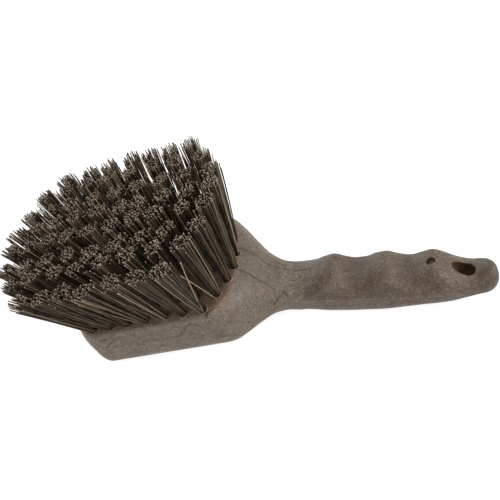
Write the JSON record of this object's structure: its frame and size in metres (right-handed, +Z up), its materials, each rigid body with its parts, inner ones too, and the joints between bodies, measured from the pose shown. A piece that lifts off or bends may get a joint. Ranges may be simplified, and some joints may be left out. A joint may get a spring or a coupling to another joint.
{
  "type": "scrub brush",
  "caption": "Hand scrub brush with a wide flat block, a fanned field of stiff bristle tufts and a moulded finger-grip handle with a hanging hole.",
  "frame": {"origin": "middle of the brush's box at its lowest point, where it lies on a table on its back with the bristles up", "axes": "+X from the bristle block towards the handle's end, +Y across the brush, +Z up, roughly along the bristles"},
  "size_m": [0.235, 0.0942, 0.0834],
  "materials": {
    "foamed_plastic": "satin, mottled foam",
    "bristle": "satin filament"
  },
  "bodies": {
    "root": {"block_and_handle": "foamed_plastic", "bristle_row_1": "bristle", "bristle_row_2": "bristle", "bristle_row_3": "bristle", "bristle_row_4": "bristle", "bristle_row_5": "bristle", "bristle_row_6": "bristle", "bristle_row_7": "bristle", "bristle_row_8": "bristle"}
  },
  "joints": []
}
